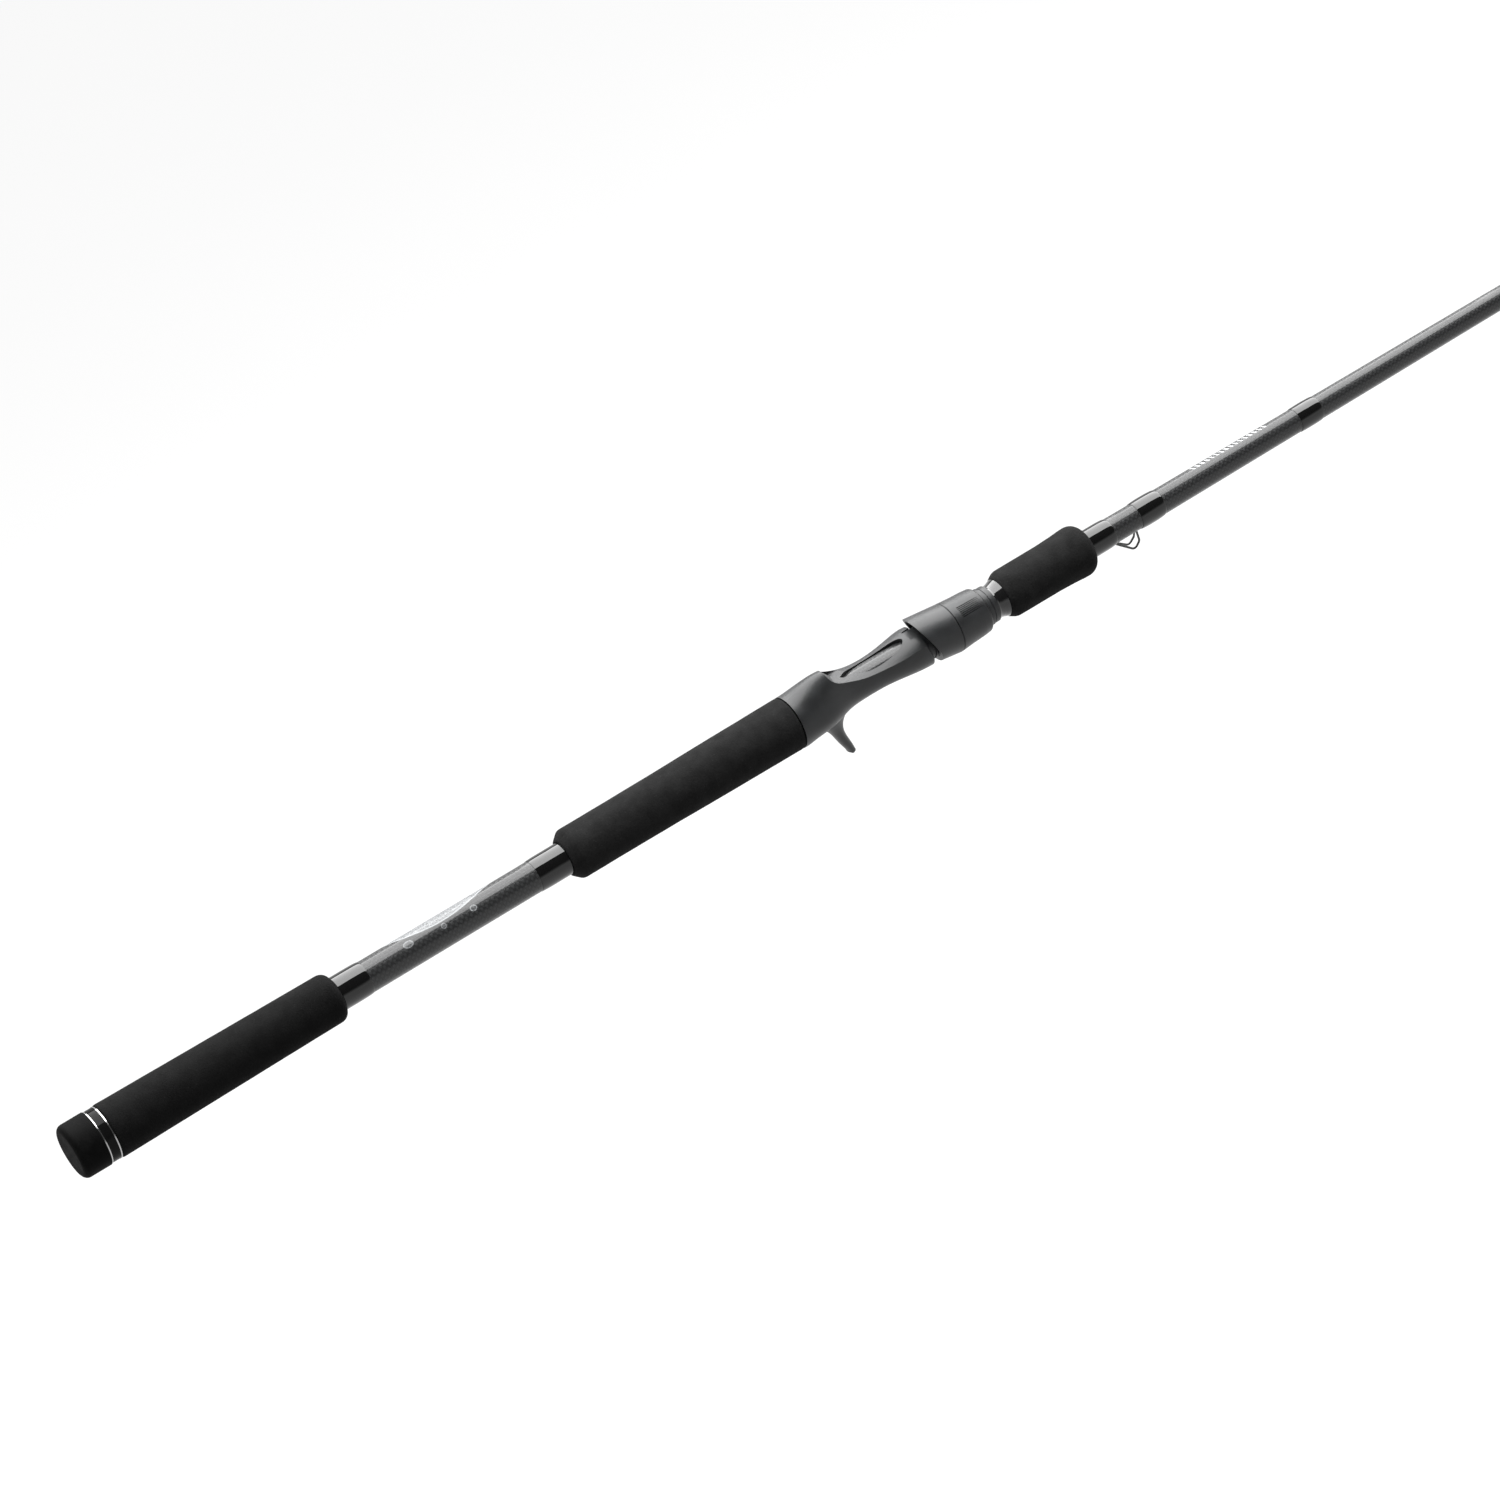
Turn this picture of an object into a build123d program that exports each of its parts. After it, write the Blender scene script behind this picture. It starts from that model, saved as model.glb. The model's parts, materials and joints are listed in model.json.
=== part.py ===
"""A two-piece casting rod with a split handle and a trigger reel seat.

The rod's axis lies along +X, from the butt to the tip, with the line guides on top (+Z)
and the trigger below.  The origin is the centre of the butt cap's end face.
All sizes are millimetres.
"""

from build123d import *
import math
import os

# ---------------------------------------------------------------- driving dimensions
ROD_LENGTH = 2400.0
SECTION_LENGTH = 1235.0          # both halves are equally long
FERRULE_START = ROD_LENGTH - SECTION_LENGTH
GLUE = 0.04                      # radial glue line between bonded parts
FERRULE_CLEARANCE = 0.05
RUNNING_CLEARANCE = 0.08

# Outside radius of the two blanks, as (x, radius)
BUTT_BLANK = [(4.0, 8.65), (270.0, 8.35), (630.0, 7.2), (890.0, 6.1), (SECTION_LENGTH, 4.95)]
TIP_BLANK = [(FERRULE_START, 6.0), (1240.0, 5.75), (ROD_LENGTH - 4.0, 1.25)]
BUTT_WALL = 1.35
TIP_WALL = 0.7

# Handle stations along the axis
CAP_END = 14.5
TRIM_RING_WIDTH = 0.6
TRIM_BAND_END = 19.7
BUTT_GRIP_START = 20.3
BUTT_GRIP_END = 151.0
REAR_GRIP_START = 285.2
SEAT_START = 424.2
MOUTH = 447.5                    # front of the fixed hood, at its top
HOOD_FRONT = 524.7
NUT_START = 525.2
NUT_END = 545.2
COLLAR_END = 551.3
FOREGRIP_START = 557.6
FOREGRIP_END = 614.3

# Radii of the handle parts
CAP_RADIUS = 14.35
SEAT_BORE = 8.2
REAR_ARBOR = (427.0, 446.0)      # sleeves that fill the seat's bore
FRONT_ARBOR = (512.0, 540.0)
BARREL_RADIUS = 9.75
THREAD_ROOT = 9.15
THREAD_PITCH = 2.0
HOOD_BORE = BARREL_RADIUS + RUNNING_CLEARANCE

# Reel foot space
POCKET_START = 441.0
POCKET_END = 462.0
POCKET_WIDTH = 12.4
POCKET_FLOOR = 9.5
POCKET_HEIGHT = 4.6
KEYWAY_WIDTH = 8.4
KEYWAY_FLOOR = 8.95
CHANNEL_START = 499.5
CHANNEL_FLOOR = 9.8

# Line guides: ring sizes from the butt to the tip, and their places back from the tip
RING_SIZES = [20, 16, 12, 10, 10, 10, 10, 10]
FIRST_SPACING = 95.0
SPACING_GROWTH = 1.165
RING_WIDTH = 2.2
FRAME_BAND = 0.8
FOOT_THICKNESS = 0.8
FOOT_TIP_WIDTH = 0.9             # half widths of a guide's foot
FOOT_ROOT_WIDTH = 1.9
WRAP_THICKNESS = 0.45


# ---------------------------------------------------------------- helpers
def radius_at(profile, x):
    """Radius of a tapered profile at x."""
    for (x0, r0), (x1, r1) in zip(profile, profile[1:]):
        if x <= x1:
            return r0 + (r1 - r0) * (x - x0) / (x1 - x0)
    return profile[-1][1]


def butt_radius(x):
    return radius_at(BUTT_BLANK, x)


def tip_radius(x):
    return radius_at(TIP_BLANK, x)


def bore_line(blank, profile, start, end, gap=GLUE):
    """Points of a bore that follows the blank's taper, from end back to start."""
    inner = [x for x, _ in profile if start < x < end]
    return [(x, blank(x) + gap) for x in [end, *reversed(inner), start]]


def turned(outline, rounds=()):
    """A part turned about the rod's axis from a closed outline of (x, radius) points."""
    with BuildPart() as piece:
        with BuildSketch(Plane.XZ):
            with BuildLine():
                Polyline(*outline, close=True)
            make_face()
            for corner, radius in rounds:
                fillet(vertices().sort_by_distance((corner[0], corner[1], 0))[0], radius)
        revolve(axis=Axis.X)
    return piece.part


def save(part, label):
    """Names a finished piece and writes it as its own STEP file."""
    part.label = label
    export_step(part, f"parts/{label}.step")


def butt_sleeve(outer, rounds=()):
    """A turned sleeve on the butt blank: outer is its outline from rear to front."""
    start, end = outer[0][0], outer[-1][0]
    return turned([*outer, *bore_line(butt_radius, BUTT_BLANK, start, end)], rounds)


def section_plane(x):
    """A plane across the rod at x, with its own x along +Y and its own y along +Z."""
    return Plane(origin=(x, 0, 0), x_dir=(0, 1, 0), z_dir=(1, 0, 0))


os.makedirs("parts", exist_ok=True)

# ---------------------------------------------------------------- blanks
def hollow_blank(profile, wall, socket=()):
    """A tapered tube; socket is the outline of a wider bore at its rear end."""
    rear, front = profile[0][0], profile[-1][0]
    inner = [(x, max(r - wall, 0.5)) for x, r in reversed(profile) if not socket or x > socket[-1][0]]
    return turned([*profile, *inner, *reversed(socket)])


save(hollow_blank(BUTT_BLANK, BUTT_WALL), "butt_blank")

ferrule_socket = [
    (FERRULE_START, butt_radius(FERRULE_START) + FERRULE_CLEARANCE),
    (SECTION_LENGTH, butt_radius(SECTION_LENGTH) + FERRULE_CLEARANCE),
    (SECTION_LENGTH + 1.0, tip_radius(SECTION_LENGTH) - 1.2),
]
save(hollow_blank(TIP_BLANK, TIP_WALL, ferrule_socket), "tip_blank")

# ---------------------------------------------------------------- butt cap and trim
with BuildPart() as butt_cap:
    with BuildSketch(Plane.XZ):
        with BuildLine():
            Polyline(
                (0, 0), (0, CAP_RADIUS), (CAP_END, CAP_RADIUS),
                (CAP_END, BUTT_BLANK[0][1] + GLUE), (BUTT_BLANK[0][0] - 0.1, BUTT_BLANK[0][1] + GLUE),
                (BUTT_BLANK[0][0] - 0.1, 0), close=True,
            )
        make_face()
        fillet(vertices().sort_by_distance((0, CAP_RADIUS, 0))[0], 3.2)
    revolve(axis=Axis.X)
save(butt_cap.part, "butt_cap")

TRIM_RADIUS = 14.15
BAND_RADIUS = 13.95
band_start = CAP_END + TRIM_RING_WIDTH
save(butt_sleeve([(CAP_END, TRIM_RADIUS), (band_start, TRIM_RADIUS)]), "trim_ring_rear")
save(butt_sleeve([(band_start, BAND_RADIUS), (TRIM_BAND_END, BAND_RADIUS)]), "trim_band")
save(butt_sleeve([(TRIM_BAND_END, TRIM_RADIUS), (BUTT_GRIP_START, TRIM_RADIUS)]), "trim_ring_front")

# ---------------------------------------------------------------- foam grips
butt_grip = butt_sleeve(
    [
        (BUTT_GRIP_START, 14.0), (BUTT_GRIP_START + 0.5, 14.4), (69.4, 13.85),
        (118.0, 13.32), (BUTT_GRIP_END, 13.0),
    ],
    rounds=[((BUTT_GRIP_END, 13.0), 4.4)],
)
save(butt_grip, "butt_grip")

rear_grip = butt_sleeve(
    [
        (REAR_GRIP_START, 9.9), (REAR_GRIP_START + 4.4, 13.7), (315.0, 13.7), (347.0, 13.85),
        (374.0, 14.2), (SEAT_START - 0.4, 14.55), (SEAT_START, 14.3),
    ],
    rounds=[((REAR_GRIP_START + 4.4, 13.7), 1.5)],
)
save(rear_grip, "rear_grip")

foregrip = butt_sleeve(
    [
        (FOREGRIP_START, 10.7), (FOREGRIP_START + 4.4, 13.2), (589.0, 13.25), (599.0, 13.6),
        (606.5, 14.15), (FOREGRIP_END, 14.15),
    ],
    rounds=[((FOREGRIP_START + 4.4, 13.2), 1.5), ((FOREGRIP_END, 14.15), 6.0)],
)
save(foregrip, "foregrip")


# ---------------------------------------------------------------- thread wraps on the handle
def wrap_outline(blank, start, end, thickness=WRAP_THICKNESS, lead=2.5):
    """Outline of a varnished thread wrap: its two ends run out to the blank."""
    return [
        (start, blank(start) + 0.12), (start + lead, blank(start + lead) + thickness),
        (end - lead, blank(end - lead) + thickness), (end, blank(end) + 0.12),
    ]


HANDLE_WRAPS = {
    "butt_wrap": (BUTT_GRIP_END, 167.5),
    "mid_wrap": (267.0, REAR_GRIP_START),
    "label_wrap": (755.3, 770.1),
}
for name, (start, end) in HANDLE_WRAPS.items():
    save(butt_sleeve(wrap_outline(butt_radius, start, end)), name)


# ---------------------------------------------------------------- reel seat
# Stations of the seat's outer form: x, half width, height above and depth below the axis, and
# how much the part above the axis narrows towards its top
SEAT_STATIONS = [
    (SEAT_START, 14.5, 14.5, 14.5, 0.0),
    (429.5, 14.5, 15.4, 14.0, 0.06),
    (436.0, 14.3, 17.4, 12.9, 0.16),
    (442.5, 13.6, 18.9, 12.3, 0.24),
    (451.0, 11.3, 18.6, 10.6, 0.24),
    (459.0, 9.3, 16.2, 9.3, 0.18),
    (470.0, 8.8, 14.4, 8.95, 0.1),
    (480.0, 9.3, 14.2, 9.0, 0.05),
    (493.0, 11.0, 15.0, 10.2, 0.0),
    (505.0, 11.9, 15.5, 11.6, 0.0),
    (514.0, 12.2, 15.7, 12.2, 0.0),
]
# The saddle's scooped floor: x, height of its crown and the crown's radius across the rod
SADDLE_STATIONS = [
    (MOUTH, 19.2, 30.0),
    (451.0, 14.2, 26.0),
    (459.0, 10.4, 23.0),
    (466.0, 8.3, 22.0),
    (472.0, 7.4, 22.0),
    (480.0, 7.3, 21.0),
    (493.0, 9.2, 18.0),
    (505.0, 10.9, 15.5),
    (516.0, 11.2, 15.3),
]
FRONT_SLOPE = 13.5               # degrees that the seat's front and the hood's lip lean back
FRONT_X = 506.7                  # where the seat's front plane crosses the axis
WINDOW = [(457.5, 0.1), (464.0, 2.7), (472.0, 4.4), (481.0, 4.9), (489.0, 4.4), (494.5, 2.8), (496.8, 0.1)]
WINDOW_BORE = 7.95               # radius of the bore under the window


def egg_section(x, half_width, top, bottom, narrowing):
    """A closed curve across the rod, with its own height above the axis and depth below it."""
    points = []
    for step in range(16):
        angle = math.radians(22.5 * step)
        height = top if math.cos(angle) > 0 else bottom
        width = half_width * (1 - narrowing * max(math.cos(angle), 0))
        points.append((width * math.sin(angle), height * math.cos(angle)))
    with BuildSketch(section_plane(x)) as section:
        with BuildLine():
            Spline(*points, periodic=True)
        make_face()
    return section.sketch


def scoop_section(x, crown, radius):
    """The open space over the saddle's crowned floor at x."""
    reach = 13.0
    edge = crown - radius + math.sqrt(radius ** 2 - reach ** 2)
    with BuildSketch(section_plane(x)) as section:
        with BuildLine():
            ThreePointArc((-reach, edge), (0, crown), (reach, edge))
            Polyline((reach, edge), (reach, 30), (-reach, 30), (-reach, edge))
        make_face()
    return section.sketch


def leaning_plane(x, slope):
    """A plane that crosses the axis at x, its top leaning back towards the butt."""
    lean = math.radians(slope)
    return Plane(origin=(x, 0, 0), x_dir=(0, 1, 0), z_dir=(math.cos(lean), 0, math.sin(lean)))


seat_sections = [egg_section(*station) for station in SEAT_STATIONS]
scoop_sections = [scoop_section(*station) for station in SADDLE_STATIONS]

with BuildPart() as saddle_scoop:
    add(scoop_sections)
    loft()

with BuildPart() as foot_pocket:
    with BuildSketch(section_plane(POCKET_START)):
        with Locations((0, POCKET_FLOOR + POCKET_HEIGHT / 2)):
            RectangleRounded(POCKET_WIDTH, POCKET_HEIGHT, 1.2)
    extrude(amount=POCKET_END - POCKET_START)

# Stations down the trigger: height, centre along the rod, half length and half width
TRIGGER_STATIONS = [
    (-6.0, 446.0, 13.0, 8.0),
    (-10.0, 446.4, 10.0, 7.0),
    (-13.5, 447.1, 7.2, 5.9),
    (-18.0, 448.3, 4.7, 4.8),
    (-25.0, 450.5, 3.2, 4.0),
    (-32.0, 453.2, 2.7, 3.6),
    (-37.2, 455.1, 2.3, 3.1),
]
TRIGGER_END = (-39.2, 455.7, 1.0, 1.6)
with BuildPart() as trigger:
    for height, centre, half_length, half_width in TRIGGER_STATIONS:
        with BuildSketch(Plane.XY.offset(height)):
            with Locations((centre, 0)):
                Ellipse(half_length, half_width)
    loft()
    for height, centre, half_length, half_width in (TRIGGER_STATIONS[-1], TRIGGER_END):
        with BuildSketch(Plane.XY.offset(height)):
            with Locations((centre, 0)):
                Ellipse(half_length, half_width)
    loft()

with BuildPart() as window:
    with BuildSketch(Plane.XY):
        with BuildLine():
            near_side = [(x, -y) for x, y in reversed(WINDOW)]
            Spline(*WINDOW, *near_side, periodic=True)
        make_face()
    extrude(amount=25)

with BuildPart() as barrel:
    with BuildSketch(Plane.XZ):
        with BuildLine():
            Polyline((500, 7), (500, BARREL_RADIUS), (NUT_END, BARREL_RADIUS), (NUT_END, 7), close=True)
        make_face()
        thread_start = HOOD_FRONT - 16.0
        for turn in range(int((NUT_END - 1.0 - thread_start) / THREAD_PITCH)):
            x = thread_start + THREAD_PITCH * turn
            with BuildLine():
                Polyline(
                    (x, BARREL_RADIUS + 0.1), (x + 0.4, THREAD_ROOT), (x + 1.0, THREAD_ROOT),
                    (x + 1.4, BARREL_RADIUS + 0.1), close=True,
                )
            make_face(mode=Mode.SUBTRACT)
    revolve(axis=Axis.X)

with BuildPart() as reel_seat_body:
    add(seat_sections)
    loft()
    split(bisect_by=leaning_plane(FRONT_X, FRONT_SLOPE), keep=Keep.BOTTOM)
    fillet(faces().sort_by(Axis.X)[-1].edges(), 1.2)
    add(trigger.part)
    add(saddle_scoop.part, mode=Mode.SUBTRACT)
    add(foot_pocket.part, mode=Mode.SUBTRACT)
    add(window.part, mode=Mode.SUBTRACT)
    # channel in the saddle's front, in line with the hood's keyway in the barrel
    with BuildSketch(Plane.XY.offset(CHANNEL_FLOOR)):
        with Locations((CHANNEL_START + 10, 0)):
            Rectangle(20.0, KEYWAY_WIDTH)
    extrude(amount=8, mode=Mode.SUBTRACT)
    add(barrel.part)
    with BuildSketch(Plane.XY.offset(KEYWAY_FLOOR)):
        with Locations((521.5, 0)):
            Rectangle(31.0, KEYWAY_WIDTH)
    extrude(amount=4, mode=Mode.SUBTRACT)
    with BuildSketch(section_plane(SEAT_START - 1)):
        Circle(WINDOW_BORE)
    extrude(amount=NUT_END - SEAT_START + 2, mode=Mode.SUBTRACT)
    for start, end in ((SEAT_START - 1, REAR_ARBOR[1]), (FRONT_ARBOR[0], NUT_END + 1)):
        with BuildSketch(section_plane(start)):
            Circle(SEAT_BORE)
        extrude(amount=end - start, mode=Mode.SUBTRACT)
save(reel_seat_body.part, "reel_seat_body")

for name, (start, end) in {"seat_arbor_rear": REAR_ARBOR, "seat_arbor_front": FRONT_ARBOR}.items():
    arbor_outline = [(start, SEAT_BORE - GLUE), (end, SEAT_BORE - GLUE)]
    save(butt_sleeve(arbor_outline), name)

# ---------------------------------------------------------------- sliding hood, cushion and lock nut
LIP_RADIUS = 13.6
LIP_RISE = 2.9                   # the lip's circle sits this far above the axis
LIP_X = 510.5                    # where the lip's plane crosses the axis
VISOR_SLOPE = 24.0               # degrees that the lip leans back above the axis
CAVITY_RADIUS = 12.0
CAVITY_END = 516.0
CUSHION_START = 509.5
CUSHION_THICKNESS = 0.5
SNAP_START = 521.4
KEY_LENGTH = 5.0

with BuildPart() as sliding_hood:
    with BuildSketch(section_plane(498.0)):
        with Locations((0, LIP_RISE + 1.0)):
            Circle(LIP_RADIUS - 0.1)
    with BuildSketch(section_plane(512.0)):
        with Locations((0, LIP_RISE - 1.0)):
            Circle(LIP_RADIUS + 0.1)
    with BuildSketch(section_plane(HOOD_FRONT)):
        Circle(13.85)
    loft()
    hood_block = sliding_hood.part
    split(bisect_by=leaning_plane(LIP_X, FRONT_SLOPE), keep=Keep.TOP)
    add(split(hood_block, bisect_by=leaning_plane(LIP_X, VISOR_SLOPE), keep=Keep.TOP, mode=Mode.PRIVATE))
    with BuildSketch(section_plane(495.0)):
        Circle(HOOD_BORE)
    extrude(amount=40, mode=Mode.SUBTRACT)
    with BuildSketch(section_plane(495.0)):
        with Locations((0, LIP_RISE)):
            Circle(CAVITY_RADIUS)
    extrude(amount=CAVITY_END - 495.0, mode=Mode.SUBTRACT)
    # groove and rim that hold the nut's collar
    with BuildSketch(section_plane(SNAP_START)):
        Circle(12.15)
    extrude(amount=1.7, mode=Mode.SUBTRACT)
    with BuildSketch(section_plane(SNAP_START)):
        Circle(11.75)
    extrude(amount=10, mode=Mode.SUBTRACT)
    # key that keeps the hood from turning
    with BuildSketch(section_plane(SNAP_START - KEY_LENGTH)):
        with Locations((0, KEYWAY_FLOOR + 0.15 + 0.75)):
            Rectangle(KEYWAY_WIDTH - 0.3, 1.5)
    extrude(amount=KEY_LENGTH)
save(sliding_hood.part, "sliding_hood")

with BuildPart() as hood_cushion:
    with BuildSketch(section_plane(CUSHION_START)):
        with Locations((0, LIP_RISE)):
            Circle(CAVITY_RADIUS - 0.03)
            Circle(CAVITY_RADIUS - 0.03 - CUSHION_THICKNESS, mode=Mode.SUBTRACT)
        with Locations((0, 7.0 + 20)):
            Rectangle(60, 40, mode=Mode.INTERSECT)
    extrude(amount=CAVITY_END - 0.1 - CUSHION_START)
save(hood_cushion.part, "hood_cushion")

PAD_COUNT = 3
PAD_RIBS = 7
with BuildPart() as lock_nut:
    with BuildSketch(Plane.XZ):
        with BuildLine():
            Polyline(
                (SNAP_START + 0.2, HOOD_BORE), (SNAP_START + 0.2, 12.0), (SNAP_START + 1.4, 12.0),
                (SNAP_START + 1.4, 11.6), (NUT_START, 11.6), (NUT_START, 13.55), (NUT_START + 0.4, 13.8),
                (533.0, 13.2), (540.0, 12.85), (NUT_END, 12.3), (NUT_END, HOOD_BORE), close=True,
            )
        make_face()
        fillet(vertices().sort_by_distance((NUT_END, 12.3, 0))[0], 1.8)
    revolve(axis=Axis.X)
    # ribbed finger pads
    for pad in range(PAD_COUNT):
        for rib in range(PAD_RIBS):
            angle = -30 + 360 / PAD_COUNT * pad + 4.2 * (rib - (PAD_RIBS - 1) / 2)
            rib_plane = Plane(
                origin=(529.2, 0, 0), x_dir=(0, math.cos(math.radians(angle)), -math.sin(math.radians(angle))),
                z_dir=(1, 0, 0),
            )
            with BuildSketch(rib_plane):
                with Locations((0, 14.0)):
                    Rectangle(0.45, 3.0)
            extrude(amount=13.2, mode=Mode.SUBTRACT)
save(lock_nut.part, "lock_nut")

# ---------------------------------------------------------------- collar and neck before the foregrip
front_collar = butt_sleeve(
    [
        (NUT_END + 0.1, 10.4), (547.9, 10.4), (547.9, 9.8), (548.5, 9.8), (548.5, 10.1),
        (COLLAR_END, 10.1),
    ]
)
save(front_collar, "front_collar")

neck_trim = butt_sleeve(
    [
        (COLLAR_END, 9.75), (552.4, 9.4), (553.6, 9.4), (555.0, 9.65), (556.4, 10.15),
        (FOREGRIP_START, 10.55),
    ]
)
save(neck_trim, "neck_trim")

# ---------------------------------------------------------------- hook keeper
KEEPER_WIRE = 0.6                # wire radius
KEEPER_SPREAD = 2.6
KEEPER_DROP = 10.5               # below the blank's surface
KEEPER_REAR = 631.0
KEEPER_LOW = 642.6
KEEPER_FRONT = 646.2
FOREGRIP_WRAP_END = 630.0
KEEPER_WRAP = (647.0, 662.8)


def keeper_leg(side):
    """Centre line of one of the keeper's two wires, from its rear foot to its front foot."""
    rear_z = -(butt_radius(KEEPER_REAR) + KEEPER_WIRE + 0.05)
    front_z = -(butt_radius(KEEPER_FRONT) + KEEPER_WIRE + 0.05)
    low_z = -(butt_radius(KEEPER_LOW) + KEEPER_DROP)
    points = [
        (619.5, side * 0.65, rear_z - 0.08), (KEEPER_REAR, side * 0.65, rear_z),
        (KEEPER_LOW, side * KEEPER_SPREAD, low_z), (KEEPER_FRONT, side * KEEPER_SPREAD * 0.9, low_z + 3.6),
        (KEEPER_FRONT, side * 0.65, front_z), (660.0, side * 0.65, front_z + 0.12),
    ]
    return points, [1.6, 2.4, 2.0, 1.2]


with BuildPart() as hook_keeper:
    for side in (1, -1):
        points, bends = keeper_leg(side)
        with BuildLine() as wire:
            FilletPolyline(*points, radius=bends)
        with BuildSketch(Plane(origin=points[0], z_dir=wire.line @ 0.001 - wire.line @ 0)):
            Circle(KEEPER_WIRE)
        sweep(path=wire.line)
save(hook_keeper.part, "hook_keeper")


def cut_by(outline_part, tool):
    """outline_part with tool's own volume taken out of it."""
    with BuildPart() as piece:
        add(outline_part)
        add(tool, mode=Mode.SUBTRACT)
    return piece.part


def keeper_wrap(start, end, thickness):
    """A wrap over the keeper's feet, with a swelling below where they lie."""
    middle = (start + end) / 2
    with BuildPart() as piece:
        add(turned([*wrap_outline(butt_radius, start, end, thickness), (end, 0), (start, 0)]))
        with BuildSketch(section_plane(start + 1.2)):
            with Locations((0, -(butt_radius(middle) - 0.9))):
                Ellipse(3.6, 2.75)
        extrude(amount=end - start - 2.4)
        with BuildSketch(section_plane(start - 1)):
            Circle(butt_radius(start) + GLUE)
        with BuildSketch(section_plane(end + 1)):
            Circle(butt_radius(end) + GLUE)
        loft(mode=Mode.SUBTRACT)
        add(hook_keeper.part, mode=Mode.SUBTRACT)
    return piece.part


save(keeper_wrap(FOREGRIP_END + 0.1, FOREGRIP_WRAP_END, 0.6), "foregrip_wrap")
save(keeper_wrap(*KEEPER_WRAP, 0.6), "keeper_wrap")


# ---------------------------------------------------------------- line guides
def ring_thickness(size):
    """Wall of a guide's ceramic ring."""
    return 1.1 + 0.025 * size


def ceramic_ring(x, height, size):
    """A guide's ceramic ring, its bore along the rod."""
    outer = size / 2
    with BuildPart() as ring:
        with BuildSketch(section_plane(x - RING_WIDTH / 2)):
            with Locations((0, height)):
                Circle(outer)
                Circle(outer - ring_thickness(size), mode=Mode.SUBTRACT)
        extrude(amount=RING_WIDTH)
        inner_edges = edges().filter_by(GeomType.CIRCLE).sort_by(SortBy.RADIUS)[:2]
        fillet(inner_edges, 0.7)
    return ring.part


def ring_band(x, height, size, width):
    """The band of a guide's frame that holds its ceramic ring."""
    outer = size / 2
    with BuildPart() as band:
        with BuildSketch(section_plane(x - width / 2)):
            with Locations((0, height)):
                Circle(outer + FRAME_BAND)
                Circle(outer + 0.02, mode=Mode.SUBTRACT)
        extrude(amount=width)
    return band.part


def strut(start, end, half_width, half_height):
    """A flat bar of a guide's frame from start to end."""
    along = (Vector(*end) - Vector(*start)).normalized()
    sideways = Vector(0, 1, 0)
    flat = sideways - along * sideways.dot(along)
    with BuildPart() as bar:
        with BuildSketch(Plane(origin=start, x_dir=flat, z_dir=along)):
            RectangleRounded(2 * half_width, 2 * half_height, min(half_width, half_height) * 0.6)
        extrude(amount=(Vector(*end) - Vector(*start)).length)
    return bar.part


def guide_foot(tip, root, surface, room=0.0):
    """A foot that lies on the blank, pointed at its tip; room is added all round it."""
    ahead = room if tip > root else -room
    with BuildPart() as foot:
        with BuildSketch(Plane.XY):
            with BuildLine():
                Polyline(
                    (tip + ahead, FOOT_TIP_WIDTH + room), (root - ahead, FOOT_ROOT_WIDTH + room),
                    (root - ahead, -FOOT_ROOT_WIDTH - room), (tip + ahead, -FOOT_TIP_WIDTH - room),
                    close=True,
                )
            make_face()
        extrude(amount=surface + FOOT_THICKNESS + room)
    return foot.part


def guide_frame(x, blank, size):
    """A double-foot guide frame at x on a blank: returns the frame and its feet's spans."""
    surface = blank(x)
    height = surface + guide_height(size)
    reach = 5.0 + 0.55 * size
    foot = 9.0 + 0.35 * size
    rear, front = x - 0.9 * reach, x + 0.75 * reach
    band = size / 2 + FRAME_BAND / 2
    shoulder_angle = math.radians(52)
    across, down = band * math.sin(shoulder_angle), band * math.cos(shoulder_angle)
    # two front legs from the ring's sides, one rear leg from its lowest point, and two feet
    pieces = [
        ring_band(x, height, size, RING_WIDTH - 0.5),
        strut((x, across, height - down), (front + 1.0, 0.9, blank(front) + 0.35), 0.65, 0.55),
        strut((x, -across, height - down), (front + 1.0, -0.9, blank(front) + 0.35), 0.65, 0.55),
        strut((x, 0, height - band), (rear - 1.0, 0, blank(rear) + 0.35), 1.5, 0.5),
        guide_foot(rear - foot, rear, blank(rear)),
        guide_foot(front + foot, front, blank(front)),
    ]
    with BuildPart() as frame:
        add(pieces)
        # the bore of the ring stays open and the feet lie on the blank
        with BuildSketch(section_plane(x - 6)):
            with Locations((0, height)):
                Circle(size / 2 + 0.02)
        extrude(amount=12, mode=Mode.SUBTRACT)
        with BuildSketch(section_plane(rear - foot - 3)):
            Circle(blank(rear - foot - 3) + GLUE)
        with BuildSketch(section_plane(front + foot + 3)):
            Circle(blank(front + foot + 3) + GLUE)
        loft(mode=Mode.SUBTRACT)
    return frame.part, (rear - foot, rear), (front + foot, front)


def guide_height(size):
    """Height of a guide's ring centre above the blank."""
    return 0.72 * size + 2.6


def guide_wrap(blank, tip, root):
    """A varnished wrap over one guide foot."""
    ahead = 1.0 if tip > root else -1.0
    start, end = sorted((tip + 4.0 * ahead, root + 1.5 * ahead))
    top = blank((start + end) / 2) + FOOT_THICKNESS + 0.45
    foot = guide_foot(tip, root, blank(root), 0.03)
    with BuildPart() as piece:
        add(turned([*wrap_outline(blank, start, end), (end, 0), (start, 0)]))
        with BuildSketch(section_plane(start + 1.0)):
            with Locations((0, top - 2.6)):
                Ellipse(3.0, 2.6)
        extrude(amount=end - start - 2.0)
        add(foot, mode=Mode.SUBTRACT)
        with BuildSketch(section_plane(start - 1)):
            Circle(blank(start - 1) + GLUE)
        with BuildSketch(section_plane(end + 1)):
            Circle(blank(end + 1) + GLUE)
        loft(mode=Mode.SUBTRACT)
    return piece.part


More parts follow.
